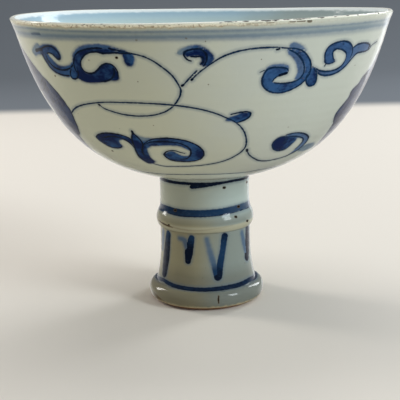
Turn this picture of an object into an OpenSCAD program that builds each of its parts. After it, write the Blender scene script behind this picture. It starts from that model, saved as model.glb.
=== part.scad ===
// Porcelain stem cup: a thrown bowl luted with slip onto a hollow stem with one ridge and a beaded foot.
// A clear glaze lies inside the bowl and over the outside; the lip's edge and the foot rim are bare clay.
// Millimetres, +Z up, origin on the axis in the face that the foot stands on.

/* [Bowl] */
// Diameter across the mouth
mouth_d = 151.5; // [120:0.5:190]
// Height of the bowl, from its underside on the axis to the rim
bowl_h = 66.5; // [50:0.5:90]
// Thickness of the clay floor on the axis
floor_t = 6; // [4:0.5:9]
// Thickness of the clay wall below the lip
wall_t = 2.4; // [1.8:0.1:4]
// Lean of the wall from upright where it meets the lip, in degrees
wall_lean = 16; // [6:1:22]
// Reach of the flat underside before it turns up, as a share of the radius
floor_fullness = 0.58; // [0.35:0.01:0.65]
// Reach of the upright wall before it turns in, as a share of the height
wall_fullness = 0.68; // [0.6:0.01:0.95]

/* [Lip] */
// Depth of the flared lip below the rim
lip_h = 8; // [4:0.5:9]
// Flare of the lip beyond the wall
lip_out = 2.5; // [1:0.1:4]
// Lean of the lip from upright at its edge, in degrees
lip_lean = 22; // [15:1:45]
// Thickness of the clay at the lip
lip_t = 1.5; // [1.4:0.1:3]

/* [Stem] */
// Height of the stem, from the foot to the bowl's underside on the axis
stem_h = 52; // [46:1:80]
// Diameter of the neck, from the ridge up to the bowl
neck_d = 37.2; // [32:0.2:40]
// Diameter of the waist, below the ridge
waist_d = 37.6; // [35:0.2:40]
// Diameter of the ridge
ridge_d = 40.6; // [39:0.2:48]
// Height of the ridge's widest line above the foot
ridge_z = 34.5; // [30:0.5:36]
// Height of the round under the ridge
ridge_under_h = 3; // [2:0.5:5]
// Height of the sloping shoulder above the ridge
shoulder_h = 7; // [4:0.5:9]

/* [Foot] */
// Diameter of the foot bead
bead_d = 48.2; // [46:0.2:60]
// Height of the bead's widest line above the foot
bead_z = 4.8; // [3:0.2:6]
// Diameter of the groove above the bead
groove_d = 42.2; // [39:0.2:45]
// Height of the groove above the foot
groove_z = 7.6; // [7:0.2:12]
// Height over which the stem flares down to the groove
flare_h = 17; // [8:0.5:18]
// Diameter of the face that the foot stands on
foot_d = 41; // [38:0.5:45]
// Height of the bare clay rim at the foot
bare_h = 1.6; // [0.6:0.2:2.4]

/* [Hollow] */
// Diameter of the hollow at the foot
hollow_foot_d = 33; // [20:0.5:36]
// Diameter of the hollow under the bowl
hollow_top_d = 24; // [14:0.5:26]

/* [Coats] */
// Thickness of the glaze
glaze_t = 0.4; // [0.2:0.05:0.8]
// Thickness of the slip between the stem and the bowl
slip_t = 0.8; // [0.4:0.1:1.6]
// Size of the slip's fillet round the neck
slip_fillet = 1.6; // [0.8:0.1:3]

/* [Hidden] */
$fn = 180;

clay_white = [0.89, 0.86, 0.78];
slip_white = [0.86, 0.84, 0.79];
glaze_tint = [0.80, 0.83, 0.79];

// Steps along a short curve, a long curve and half a round edge
short_steps = 6;
long_steps = 36;
edge_steps = 10;
// Where the round under the ridge leaves its corner with the waist, which leaves room there for the glaze
ridge_corner_angle = -70;
// Handle of a cubic curve that stands for a quarter round
round_handle = 0.55;

// The finished diameters above include the glaze, so the clay is smaller by its thickness
neck_r = neck_d / 2 - glaze_t;
waist_r = waist_d / 2 - glaze_t;
ridge_r = ridge_d / 2 - glaze_t;
bead_r = bead_d / 2 - glaze_t;
groove_r = groove_d / 2 - glaze_t;
foot_r = foot_d / 2;
hollow_foot_r = hollow_foot_d / 2;
hollow_top_r = hollow_top_d / 2;
rim_z = stem_h + bowl_h;

// Point at t on a cubic curve with four control points
function cubic(p, t) =
    pow(1 - t, 3) * p[0] + 3 * t * pow(1 - t, 2) * p[1] + 3 * t * t * (1 - t) * p[2] + pow(t, 3) * p[3];
// Points along a cubic curve
function curve(p, n, from = 0, to = 1) = [for (i = [0 : n]) cubic(p, from + (to - from) * i / n)];
// Place along a cubic curve where its radius is r, found by halving
function place_at(p, r, low = 0, high = 1, tries = 40) =
    let (mid = (low + high) / 2)
    tries == 0 ? mid
    : cubic(p, mid)[0] < r ? place_at(p, r, mid, high, tries - 1)
    : place_at(p, r, low, mid, tries - 1);
// Points along an upright ellipse between two angles
function arc(centre, radii, from, to, n) =
    [for (i = [0 : n]) let (a = from + (to - from) * i / n) centre + [radii[0] * cos(a), radii[1] * sin(a)]];
// A list without its first point, part of a list, and a list the other way round
function rest(list) = [for (i = [1 : len(list) - 1]) list[i]];
function part(list, from, to) = [for (i = [from : to]) list[i]];
function back(list) = [for (i = [len(list) - 1 : -1 : 0]) list[i]];
// A line moved straight down
function lowered(line, by) = [for (p = line) p - [0, by]];
// Direction at a lean from upright, and the outward side of a run from a to b
function leaning(angle) = [sin(angle), cos(angle)];
function side(a, b) = let (d = (b - a) / norm(b - a)) [d[1], -d[0]];
// Outward side of a corner, lengthened so that both of its runs move by the same depth
function corner_side(a, b, c) =
    let (n = side(a, b), both = n + side(b, c), m = both / norm(both))
    m / (m * n);
function mirrored(p) = [-p[0], p[1]];
// A line moved outward by one depth at each of its points; an end on the axis moves along the axis
function moved(line, depths) =
    let (last = len(line) - 1)
    [for (i = [0 : last])
        let (
            before = i > 0 ? line[i - 1] : line[0][0] == 0 ? mirrored(line[1]) : 2 * line[0] - line[1],
            after = i < last ? line[i + 1] : line[last][0] == 0 ? mirrored(line[last - 1])
                : 2 * line[last] - line[last - 1]
        )
        line[i] + depths[i] * corner_side(before, line[i], after)];

// Lip: its edge is half round and bare, and it flares from the top of the wall
edge_r = lip_t / 2;
lip_end = [mouth_d / 2 - glaze_t * cos(lip_lean), rim_z - edge_r * (1 + sin(lip_lean))];
wall_end = [lip_end[0] - lip_out, rim_z - lip_h];
lip_handle = norm(lip_end - wall_end) / 3;
lip_line = curve(
    [wall_end, wall_end + lip_handle * leaning(wall_lean), lip_end - lip_handle * leaning(lip_lean), lip_end],
    short_steps);
edge_centre = lip_end - edge_r * [cos(lip_lean), -sin(lip_lean)];
edge_line = arc(edge_centre, [edge_r, edge_r], -lip_lean, 180 - lip_lean, edge_steps);

// Bowl: one cubic curve from the axis to the wall's end, divided where the stem and its slip meet it
bowl_curve = [
    [0, stem_h],
    [floor_fullness * wall_end[0], stem_h],
    wall_end - wall_fullness * (wall_end[1] - stem_h) * leaning(wall_lean),
    wall_end
];
at_hollow = place_at(bowl_curve, hollow_top_r);
at_neck = place_at(bowl_curve, neck_r);
at_fillet = place_at(bowl_curve, neck_r + slip_fillet);
over_hollow = curve(bowl_curve, short_steps, 0, at_hollow);
over_stem = curve(bowl_curve, short_steps, at_hollow, at_neck);
over_fillet = curve(bowl_curve, short_steps, at_neck, at_fillet);
wall_line = concat(curve(bowl_curve, long_steps, at_fillet, 1), rest(lip_line));
bowl_line = concat(over_hollow, rest(over_stem), rest(over_fillet), rest(wall_line));

// Inside of the bowl: the outside less a clay thickness that eases from the floor to the wall and the lip
function clay_t(p) =
    p[1] <= wall_end[1] ? wall_t + (floor_t - wall_t) * (1 - pow(p[0] / wall_end[0], 2))
    : wall_t + (lip_t - wall_t) * (p[1] - wall_end[1]) / (lip_end[1] - wall_end[1]);
bowl_last = len(bowl_line) - 1;
inside_line = concat(
    part(moved(bowl_line, [for (p = bowl_line) -clay_t(p)]), 0, bowl_last - 1),
    [edge_line[edge_steps]]);

// Stem: bead, flare, waist, ridge, shoulder and neck, up to the slip under the bowl
bare_angle = asin(bare_h / bead_z - 1);
bare_line = arc([foot_r, bead_z], [bead_r - foot_r, bead_z], -90, bare_angle, short_steps);
bead_low = arc([foot_r, bead_z], [bead_r - foot_r, bead_z], bare_angle, 0, edge_steps);
bead_high = arc([groove_r, bead_z], [bead_r - groove_r, groove_z - bead_z], 0, 90, edge_steps);
flare_line = curve(
    [
        [groove_r, groove_z],
        [(groove_r + waist_r) / 2, groove_z + flare_h / 4],
        [waist_r, groove_z + flare_h * round_handle],
        [waist_r, groove_z + flare_h]
    ],
    edge_steps);
under_ridge = concat(
    [[waist_r, ridge_z - ridge_under_h]],
    arc([waist_r, ridge_z], [ridge_r - waist_r, ridge_under_h], ridge_corner_angle, 0, edge_steps));
shoulder_line = curve(
    [
        [ridge_r, ridge_z],
        [ridge_r, ridge_z + shoulder_h * (1 - round_handle)],
        [neck_r, ridge_z + shoulder_h * (1 - round_handle)],
        [neck_r, ridge_z + shoulder_h]
    ],
    edge_steps);
seat_line = lowered(over_stem, slip_t);
seat_z = seat_line[short_steps][1];
fillet_foot = [neck_r, seat_z - slip_fillet];
fillet_end = over_fillet[short_steps];
fillet_corner = over_fillet[0];
fillet_line = curve(
    [
        fillet_foot,
        fillet_foot + round_handle * (fillet_corner - fillet_foot),
        fillet_end + round_handle * (fillet_corner - fillet_end),
        fillet_end
    ],
    edge_steps);
stem_line = concat(
    bare_line, rest(bead_low), rest(bead_high), rest(flare_line), under_ridge, rest(shoulder_line), [fillet_foot]);

// Whole clay surface from the foot over the lip to the middle of the floor, and the same surface glazed
clay_line = concat(stem_line, rest(fillet_line), rest(wall_line), rest(edge_line), rest(back(inside_line)));
glazed_line = moved(clay_line, [for (p = clay_line) glaze_t]);
coat_foot = short_steps;
coat_join = len(stem_line) - 1 + edge_steps;
coat_lip_out = coat_join + len(wall_line) - 1;
coat_lip_in = coat_lip_out + edge_steps;
coat_floor = len(clay_line) - 1;

// Ring of glaze on one stretch of the clay surface
module coat(from, to) {
    color(glaze_tint)
        rotate_extrude()
            polygon(concat(part(clay_line, from, to), back(part(glazed_line, from, to))));
}

// Thrown and turned bowl
module bowl() {
    color(clay_white)
        rotate_extrude()
            polygon(concat(bowl_line, rest(edge_line), rest(back(inside_line))));
}

// Hollow stem, thrown with its ridge and its foot, and trimmed on top to the bowl's underside
module stem() {
    color(clay_white)
        rotate_extrude()
            polygon(concat([[hollow_foot_r, 0]], stem_line, back(seat_line)));
}

// Liquid clay that holds the stem to the bowl, wiped to a fillet round the neck
module luting_slip() {
    color(slip_white)
        rotate_extrude()
            polygon(concat(over_stem, rest(over_fillet), rest(back(fillet_line)), back(seat_line)));
}

// Glaze on the outside of the bowl
module bowl_outer_glaze() {
    coat(coat_join, coat_lip_out);
}

// Glaze on the inside of the bowl
module bowl_inner_glaze() {
    coat(coat_lip_in, coat_floor);
}

// Glaze on the stem, from the bare foot rim up over the slip
module stem_glaze() {
    coat(coat_foot, coat_join);
}

bowl();
stem();
luting_slip();
bowl_outer_glaze();
bowl_inner_glaze();
stem_glaze();
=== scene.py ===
import math

import bmesh
import bpy
import numpy as np
from mathutils import Matrix, Vector
from mathutils.kdtree import KDTree


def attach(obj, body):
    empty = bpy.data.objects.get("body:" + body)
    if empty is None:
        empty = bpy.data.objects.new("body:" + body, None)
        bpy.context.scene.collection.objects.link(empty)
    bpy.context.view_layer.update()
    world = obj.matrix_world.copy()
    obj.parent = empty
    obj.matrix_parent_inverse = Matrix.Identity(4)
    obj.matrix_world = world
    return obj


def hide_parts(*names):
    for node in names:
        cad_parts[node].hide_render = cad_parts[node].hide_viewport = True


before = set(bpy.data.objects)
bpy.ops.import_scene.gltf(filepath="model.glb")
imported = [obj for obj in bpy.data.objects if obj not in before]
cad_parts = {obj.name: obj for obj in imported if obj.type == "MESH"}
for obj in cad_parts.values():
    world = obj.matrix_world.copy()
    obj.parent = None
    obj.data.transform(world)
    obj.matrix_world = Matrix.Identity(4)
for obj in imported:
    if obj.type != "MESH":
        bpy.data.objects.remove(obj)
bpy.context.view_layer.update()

# The viewpoint. The cup stands on a table and is seen from 410 mm in front, from a little above its lip.
# The painting is set out from here too, so the eye's place is in mm and its sight lines are kept.
MM = 0.001
frame_side = 400
eye = np.array([0.0, -408.0, 134.5])
eye_focal = 1002.5
eye_pitch, eye_roll, eye_yaw = 0.2254, -0.0222, -0.0048

sight = np.array([math.sin(eye_yaw) * math.cos(eye_pitch), math.cos(eye_yaw) * math.cos(eye_pitch),
                  -math.sin(eye_pitch)])
level = np.array([math.cos(eye_yaw), -math.sin(eye_yaw), 0.0])
above = np.cross(level, sight)
eye_right = math.cos(eye_roll) * level + math.sin(eye_roll) * above
eye_up = math.cos(eye_roll) * above - math.sin(eye_roll) * level

viewpoint = bpy.data.objects.new("viewpoint", bpy.data.cameras.new("viewpoint"))
viewpoint.data.sensor_width = 36
viewpoint.data.lens = eye_focal / frame_side * viewpoint.data.sensor_width
eye_turn = Matrix([eye_right, eye_up, -sight]).transposed().to_4x4()
viewpoint.matrix_world = Matrix.Translation(Vector(eye * MM)) @ eye_turn
bpy.context.scene.collection.objects.link(viewpoint)
bpy.context.scene.camera = viewpoint
bpy.context.scene.view_settings.view_transform = "Standard"


# The stem. A hollow column of porcelain, thrown upside down on the wheel with its ridge and its beaded
# foot, then pared. Its foot stands bare on the table, and the hollow inside was never glazed.
section_merge = 0.1
corner_degrees = 40


def half_section(node):
    """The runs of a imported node's half section, from corner to corner, as (radius, height) in mm."""
    rings = bmesh.new()
    rings.from_mesh(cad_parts[node].data)
    for v in rings.verts:
        v.co = Vector((math.hypot(v.co.x, v.co.y), 0, v.co.z)) / MM
    bmesh.ops.remove_doubles(rings, verts=rings.verts[:], dist=section_merge)
    ends = [v for v in rings.verts if len(v.link_edges) == 1]
    walk = [min(ends or rings.verts, key=lambda v: v.co.z)]
    while step := [v for e in walk[-1].link_edges if (v := e.other_vert(walk[-1])) not in walk]:
        walk.append(step[0])
    points = np.array([(v.co.x, v.co.z) for v in walk])
    rings.free()
    if not ends:
        points = np.vstack([points, points[:1]])
        swept = np.sum(points[:-1, 0] * points[1:, 1] - points[1:, 0] * points[:-1, 1])
        points = points if swept > 0 else points[::-1]
    ways = np.diff(points, axis=0)
    heading = np.degrees(np.arctan2(ways[:, 1], ways[:, 0]))
    turn = np.abs((np.diff(heading, prepend=heading[-1]) + 180) % 360 - 180)
    corners = [i for i in range(1, len(ways)) if turn[i] > corner_degrees]
    if ends or turn[0] > corner_degrees:
        corners = [0] + corners + [len(ways)]
    else:
        points = np.vstack([points[corners[0]:-1], points[:corners[0] + 1]])
        corners = [c - corners[0] for c in corners] + [len(ways)]
    return [points[a:b + 1] for a, b in zip(corners, corners[1:])]


def way_along(line):
    """How far each point of a line lies from its start."""
    return np.r_[0, np.cumsum(np.linalg.norm(np.diff(line, axis=0), axis=1))]


def eased(line, reach, slope, at):
    """The points so far along a smooth curve through a line's points, which has those slopes at them."""
    i = np.clip(np.searchsorted(reach, at, side="right") - 1, 0, len(line) - 2)
    gap = (reach[i + 1] - reach[i])[:, None]
    t = ((at - reach[i]) / gap[:, 0])[:, None]
    return ((2 * t**3 - 3 * t**2 + 1) * line[i] + (t**3 - 2 * t**2 + t) * gap * slope[i]
            + (3 * t**2 - 2 * t**3) * line[i + 1] + (t**3 - t**2) * gap * slope[i + 1])


def pared(run, step):
    """A run of a half section as a smooth line with a point every step mm."""
    reach = way_along(run)
    slope = np.gradient(run, reach, axis=0) if len(run) > 2 else np.diff(run, axis=0)[[0, 0]] / reach[-1]
    return eased(run, reach, slope, np.linspace(0, reach[-1], max(2, round(reach[-1] / step) + 1)))


spin_sectors = 16
rim_merge = 0.005
spin_merge = 0.01


def turned(name, lines, columns, face=None):
    """A piece turned from its half section's lines. Points of line number face know their way along it."""
    bm = bmesh.new()
    along = bm.verts.layers.float.new("along")
    rim = []
    for number, line in enumerate(lines):
        for (radius, height), way in zip(line, way_along(line)):
            here = Vector((radius, 0, height))
            if not rim or (rim[-1].co - here).length > rim_merge:
                rim.append(bm.verts.new(here))
                rim[-1][along] = -1
            if number == face:
                rim[-1][along] = way
    closed = (rim[0].co - rim[-1].co).length < rim_merge
    if closed:
        rim[0][along] = max(rim[0][along], rim[-1][along])
        bm.verts.remove(rim.pop())
    for a, b in zip(rim, rim[1:] + rim[:1] if closed else rim[1:]):
        bm.edges.new((a, b))
    bmesh.ops.spin(bm, geom=bm.verts[:] + bm.edges[:], axis=(0, 0, 1),
                   angle=2 * math.pi / spin_sectors, steps=columns // spin_sectors)
    bmesh.ops.spin(bm, geom=bm.verts[:] + bm.edges[:] + bm.faces[:], axis=(0, 0, 1),
                   angle=2 * math.pi * (1 - 1 / spin_sectors), steps=spin_sectors - 1, use_duplicate=True)
    bmesh.ops.remove_doubles(bm, verts=bm.verts[:], dist=spin_merge)
    bmesh.ops.recalc_face_normals(bm, faces=bm.faces[:])
    piece = bpy.data.objects.new(name, bpy.data.meshes.new(name))
    bm.to_mesh(piece.data)
    bm.free()
    bpy.context.scene.collection.objects.link(piece)
    return piece


def points_of(piece):
    """A piece's points as an array of x, y and z."""
    co = np.empty(len(piece.data.vertices) * 3, np.float32)
    piece.data.vertices.foreach_get("co", co)
    return co.reshape(-1, 3).astype(float)


def set_points(piece, co):
    piece.data.vertices.foreach_set("co", co.astype(np.float32).ravel())
    piece.data.update()


bowl_start, bowl_rise = 54, 64.5
bowl_shift, shift_start, shift_rise = 0.3, 48, 14
bowl_out_of_round = ((2, 0.22, 0.9), (3, 0.1, -1.2), (7, 0.05, 0))
foot_out_of_round = ((2, 0.12, -0.5), (5, 0.06, 1))
foot_wander_height = 50
bowl_out_of_level = ((1, 0.35, math.pi / 2), (3, 0.1, 0.4), (8, 0.05, 0))
lip_warp = -0.15, (0.49, 0.08), (-0.48, 0.36)
lip_wiped_height, lip_wiped_share = 117.2, 0.55
wheel_ring_depth, wheel_ring_pitch = 0.025, 1.9


def turn_of(co):
    """How far round from the front points lie."""
    return np.arctan2(co[..., 0], -co[..., 1])


def up_the_bowl(co):
    """How far up the bowl points in mm lie, from 0 to 1."""
    return np.clip((co[..., 2] - bowl_start) / bowl_rise, 0, 1)


def waves(turn, wander):
    """The sum of waves on the way round, each with its number, its size and its start."""
    return sum(size * np.cos(number * turn + start) for number, size, start in wander)


def lip_lift(co):
    """How far the kiln warped the lip up at points in mm: once and twice up and down on its way round."""
    turn = turn_of(co)
    lift = lip_warp[0]
    for times, (even, odd) in enumerate(lip_warp[1:], 1):
        lift = lift + even * np.cos(times * turn) + odd * np.sin(times * turn)
    return up_the_bowl(co) ** 8 * lift


def hand_thrown(co):
    """What the wheel and the kiln did to points in mm: out of round, ringed, off centre, out of level."""
    co = co.copy()
    radius = np.hypot(co[:, 0], co[:, 1])
    turn = turn_of(co)
    bowl = up_the_bowl(co)
    out = bowl**2 * waves(turn, bowl_out_of_round)
    out += np.clip(1 - co[:, 2] / foot_wander_height, 0, 1) * waves(turn, foot_out_of_round)
    out += wheel_ring_depth * np.sin(co[:, 2] * wheel_ring_pitch + turn) * np.clip(radius / 20, 0, 1)
    co[:, :2] *= (1 + out / np.maximum(radius, 4))[:, None]
    co[:, 0] += bowl_shift * np.clip((co[:, 2] - shift_start) / shift_rise, 0, 1)
    lift = bowl**2 * waves(turn, bowl_out_of_level) + lip_lift(co)
    wiped = lip_wiped_height + lip_wiped_share * (co[:, 2] - lip_wiped_height)
    co[:, 2] = np.minimum(co[:, 2], wiped) + lift
    return co


def carry(piece, name, values, domain="POINT"):
    """Gives each point, or each face's corner, of a piece three numbers under that name."""
    layer = piece.data.attributes.new(name, "FLOAT_VECTOR", domain)
    layer.data.foreach_set("vector", values.astype(np.float32).ravel())


sharp_from = math.radians(50)


def set_down(piece, node, finish):
    """Gives a turned piece its hand-thrown form and its finish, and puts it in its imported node's place."""
    carry(piece, "thrown", points_of(piece) * MM)
    set_points(piece, hand_thrown(points_of(piece)) * MM)
    piece.data.shade_smooth()
    piece.data.set_sharp_from_angle(angle=sharp_from)
    piece.data.materials.append(finish)
    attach(piece, "root")
    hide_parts(node)


def tint(red, green, blue):
    """A colour as a screen shows it, 0 to 255, in the light's own measure."""
    shares = (c / 255 for c in (red, green, blue))
    return tuple(c / 12.92 if c < 0.0405 else ((c + 0.055) / 1.055) ** 2.4 for c in shares) + (1.0,)


class Measure:
    """One value in a finish's recipe. Sums on it add the nodes that work them out."""

    def __init__(self, recipe, socket):
        self.recipe, self.socket = recipe, socket

    def sum(self, operation, *values):
        return self.recipe.add("ShaderNodeMath", {"operation": operation}, dict(enumerate(values)))

    def __add__(self, other):
        return self.sum("ADD", self, other)

    def __sub__(self, other):
        return self.sum("SUBTRACT", self, other)

    def __rsub__(self, other):
        return self.sum("SUBTRACT", other, self)

    def __mul__(self, other):
        return self.sum("MULTIPLY", self, other)

    def __pow__(self, other):
        return self.sum("POWER", self, other)

    __radd__, __rmul__ = __add__, __mul__

    def most(self, other):
        return self.sum("MAXIMUM", self, other)

    def least(self, other):
        return self.sum("MINIMUM", self, other)

    def rise(self, low, high, bottom=0.0, top=1.0):
        """From bottom to top as the value goes from low to high, smoothly."""
        smoothly = {"interpolation_type": "SMOOTHSTEP"}
        values = {"Value": self, "From Min": low, "From Max": high, "To Min": bottom, "To Max": top}
        return self.recipe.add("ShaderNodeMapRange", smoothly, values)

    def part(self, number):
        """One of the three numbers of a vector."""
        return self.recipe.add("ShaderNodeSeparateXYZ", {}, {0: self}, number)


class Recipe:
    """A finish, or the room's light, that is mixed from nodes."""

    def __init__(self, name, kind="materials", shader="Principled BSDF"):
        self.made = getattr(bpy.data, kind).new(name)
        self.made.use_nodes = True
        self.tree = self.made.node_tree
        self.shader = self.tree.nodes[shader]

    def add(self, kind, settings, values, output=0):
        node = self.tree.nodes.new(kind)
        for name, value in settings.items():
            setattr(node, name, value)
        for name, value in values.items():
            self.feed(node.inputs[name], value)
        return Measure(self, node.outputs[output])

    def feed(self, socket, value):
        if isinstance(value, Measure):
            self.tree.links.new(value.socket, socket)
        else:
            socket.default_value = value

    def blend(self, amount, one, other):
        """Colour one with so much of the other laid over it."""
        return self.add("ShaderNodeMix", {"data_type": "RGBA"}, {0: amount, 6: one, 7: other}, 2)

    def place(self, kind="Object"):
        return self.add("ShaderNodeTexCoord", {}, {}, kind)

    def noise(self, size, detail=2.0, stretch=(1, 1, 1), roughness=0.5):
        """Cloudy variation, about 0.5, with clouds of about size mm."""
        spread = self.add("ShaderNodeVectorMath", {"operation": "MULTIPLY"}, {0: self.place(), 1: stretch})
        values = {"Vector": spread, "Scale": 1 / (size * MM), "Detail": detail, "Roughness": roughness}
        return self.add("ShaderNodeTexNoise", {}, values)

    def grains(self, size):
        """How far a point lies from the nearest of scattered grains that stand about size mm apart."""
        values = {"Vector": self.place(), "Scale": 1 / (size * MM)}
        return self.add("ShaderNodeTexVoronoi", {}, values, "Distance")

    def carried(self, name):
        """What the piece's own points carry under that name."""
        return self.add("ShaderNodeAttribute", {"attribute_name": name}, {}, "Vector")

    def relief(self, height, depth):
        """A surface that rises by depth mm as height goes from 0 to 1."""
        return self.add("ShaderNodeBump", {}, {"Height": height, "Distance": depth * MM})

    def done(self, values):
        for name, value in values.items():
            self.feed(self.shader.inputs[name], value)
        return self.made


def bare_clay(name, body, flashed, flash):
    """Fired porcelain without glaze: dry, finely gritty, stained where the kiln's flame flashed it."""
    clay = Recipe(name)
    cloud = clay.noise(9, 4)
    grit = clay.noise(0.5, 3)
    dark = clay.grains(1.6).rise(0.22, 0.1)
    stain = (flash(clay) + (cloud - 0.5) * 0.9).rise(0.25, 0.75)
    colour = clay.blend(stain, tint(*body), tint(*flashed))
    colour = clay.blend((grit - 0.5) * 0.8 + 0.1, colour, tint(120, 98, 70))
    colour = clay.blend(dark * 0.75, colour, tint(58, 44, 32))
    return clay.done({"Base Color": colour, "Roughness": grit.rise(0.3, 0.7, 0.62, 0.85),
                      "Normal": clay.relief(grit - dark * 0.8, 0.12)})


def low_down(clay):
    """More flame near the foot, most on the side that stood towards it."""
    where = clay.place()
    return where.part(2).rise(0.012, 0.0) * (0.75 - where.part(0) * 14)


stem_step = 1.2
stem_columns = 192
stem = turned("stem", [pared(run, stem_step) for run in half_section("stem")], stem_columns)
stem_finish = bare_clay("bare_porcelain_stem", (196, 178, 146), (142, 92, 52), low_down)
set_down(stem, "stem", stem_finish)


# The bowl. Thin-walled porcelain, thrown separately and pared outside, with the lip turned out a little.
# Only the crest of its lip shows: a skin of glaze so thin that it is stained buff outside and has flaked
# off in pits.
bowl_step, lip_step = 2.5, 0.25
bowl_columns = 704
lip_fine_depth, lip_pitted_depth = 3.5, 2.6
lip_flakes = 70
lip_flakes_middle, lip_flakes_spread = 0.46, 0.14
lip_flakes_lean, lip_flakes_lean_spread = 0.8, 0.22
lip_pits = 130
lip_pits_lean, lip_pits_lean_spread = 0.7, 0.4
lip_pit_smallest, lip_pit_deepest, lip_pit_depth_share = 0.12, 0.2, 0.4
lip_pit_spread = (1.6, 0.1)
lip_pit_stretch = 0.85
lip_pit_seed = 7

bowl_line = half_section("bowl")[0]
lip_middle, lip_top = bowl_line[np.argmax(bowl_line[:, 1])]
lip_round = bowl_line[:, 0].max() - lip_middle
fine = np.nonzero(bowl_line[:, 1] > lip_top - lip_fine_depth)[0]
bowl_parts = [pared(bowl_line[:fine[0] + 1], bowl_step), pared(bowl_line[fine[0]:fine[-1] + 1], lip_step),
              pared(bowl_line[fine[-1]:], bowl_step)]
bowl = turned("bowl", bowl_parts, bowl_columns)
co = points_of(bowl)
outward = np.hypot(co[:, 0], co[:, 1]) - lip_middle
depth = (lip_top - co[:, 2]) * np.sign(outward)
pitted = np.zeros(len(co))
on_lip = np.nonzero(co[:, 2] > lip_top - lip_pitted_depth)[0]
chance = np.random.default_rng(lip_pit_seed)
pit_turns = np.r_[chance.normal(lip_flakes_middle, lip_flakes_spread, lip_flakes),
                  chance.uniform(-math.pi, math.pi, lip_pits)]
pit_sizes = chance.gamma(*lip_pit_spread, len(pit_turns)) + lip_pit_smallest
pit_leans = np.r_[chance.normal(lip_flakes_lean, lip_flakes_lean_spread, lip_flakes),
                  chance.normal(lip_pits_lean, lip_pits_lean_spread, lip_pits)]
for turn, size, lean in zip(pit_turns, pit_sizes, pit_leans):
    round_trip = np.array([math.sin(turn), -math.cos(turn), 0])
    inwards = -math.cos(lean) * round_trip - [0, 0, math.sin(lean)]
    spot = lip_middle * round_trip + [0, 0, lip_top - lip_round] - lip_round * inwards
    way = co[on_lip] - spot
    lengthwise = way[:, 0] * math.cos(turn) + way[:, 1] * math.sin(turn)
    far = np.sqrt(np.maximum((way**2).sum(1) - lip_pit_stretch * lengthwise**2, 0)) / size
    pitted[on_lip] = np.maximum(pitted[on_lip], np.clip(1.2 - far, 0, 1))
    sunk = np.clip(1 - far**2, 0, 1)[:, None] ** 2 * min(lip_pit_deepest, lip_pit_depth_share * size)
    co[on_lip] += sunk * inwards
set_points(bowl, co)
carry(bowl, "lip", np.stack([pitted, depth, np.zeros(len(co))], 1))

skin = Recipe("lip_skin")
where, lip, cloud, grit = skin.place(), skin.carried("lip"), skin.noise(6, 4), skin.noise(0.6, 3)
outside = (lip.part(1) + (cloud - 0.5) * 0.7 + (grit - 0.5) * 0.6).rise(0.95, 1.45)
flamed = where.part(0).rise(0.045, -0.01) * where.part(0).rise(-0.072, -0.06)
buff = outside * (flamed * 0.9 + 0.1 + (cloud - 0.5) * 0.5)
flaked = (lip.part(0) + (grit - 0.5) * 0.5).rise(0.35, 0.62)
skin_colour = skin.blend(buff.rise(0.0, 0.9), tint(252, 250, 234), tint(190, 172, 126))
skin_colour = skin.blend((grit - 0.5) * 0.5 + 0.05, skin_colour, tint(182, 162, 124))
skin_colour = skin.blend(flaked, skin_colour, tint(58, 50, 42))
lip_finish = skin.done({
    "Base Color": skin_colour,
    "Roughness": flaked.rise(0, 1, 0.16, 0.85),
    "Specular IOR Level": 0.9,
    "Normal": skin.relief(grit * 0.3 - flaked, 0.08)})
set_down(bowl, "bowl", lip_finish)


# The luting slip. A ring of liquid porcelain clay between the stem's top and the bowl's underside, wiped
# to a fillet outside. It fused with both in the kiln and lies under the glaze.
slip_clay = Recipe("fired_slip")
wiped = slip_clay.noise(3, 3, (1, 1, 4))
slip_finish = slip_clay.done({
    "Base Color": slip_clay.blend(wiped, tint(214, 204, 182), tint(186, 172, 146)),
    "Roughness": wiped.rise(0.2, 0.8, 0.6, 0.85),
    "Normal": slip_clay.relief(wiped, 0.2)})
slip_step = 0.5
slip_columns = 128
slip_lines = [pared(run, slip_step) for run in half_section("luting_slip")]
slip_ring = turned("luting_slip", slip_lines, slip_columns)
set_down(slip_ring, "luting_slip", slip_finish)


# The stem's glaze, with the painting under it. Cobalt was brushed on the raw clay: rings at the neck,
# above the ridge and above the foot, and a row of V strokes between, darker on one side. Then the stem
# was glazed.
points_at_once = 4000


def within(points, outline):
    """Which points lie within a closed outline."""
    a, b = outline, np.roll(outline, -1, 0)
    slope = (b - a)[:, 0] / np.where(b[:, 1] == a[:, 1], 1.0, b[:, 1] - a[:, 1])
    inside = []
    for some in np.array_split(points, len(points) // points_at_once + 1):
        x, y = some[:, :, None].swapaxes(0, 1)
        crosses = (a[:, 1] > y) != (b[:, 1] > y)
        inside.append((crosses & (x < a[:, 0] + (y - a[:, 1]) * slope)).sum(1) % 2 == 1)
    return np.concatenate(inside)


def boxed(points, marks, margin):
    """Which points lie in the box round some marks, or nearer to it than a margin."""
    return ((points > marks.min(0) - margin) & (points < marks.max(0) + margin)).all(1).nonzero()[0]


def nearest(places, spots):
    """Which of the places is nearest to each spot, and how far off that is."""
    tree = KDTree(len(places))
    for i, place in enumerate(places):
        tree.insert(place, i)
    tree.balance()
    number, far = np.array([tree.find(spot)[1:] for spot in spots]).T
    return number.astype(int), far


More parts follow.
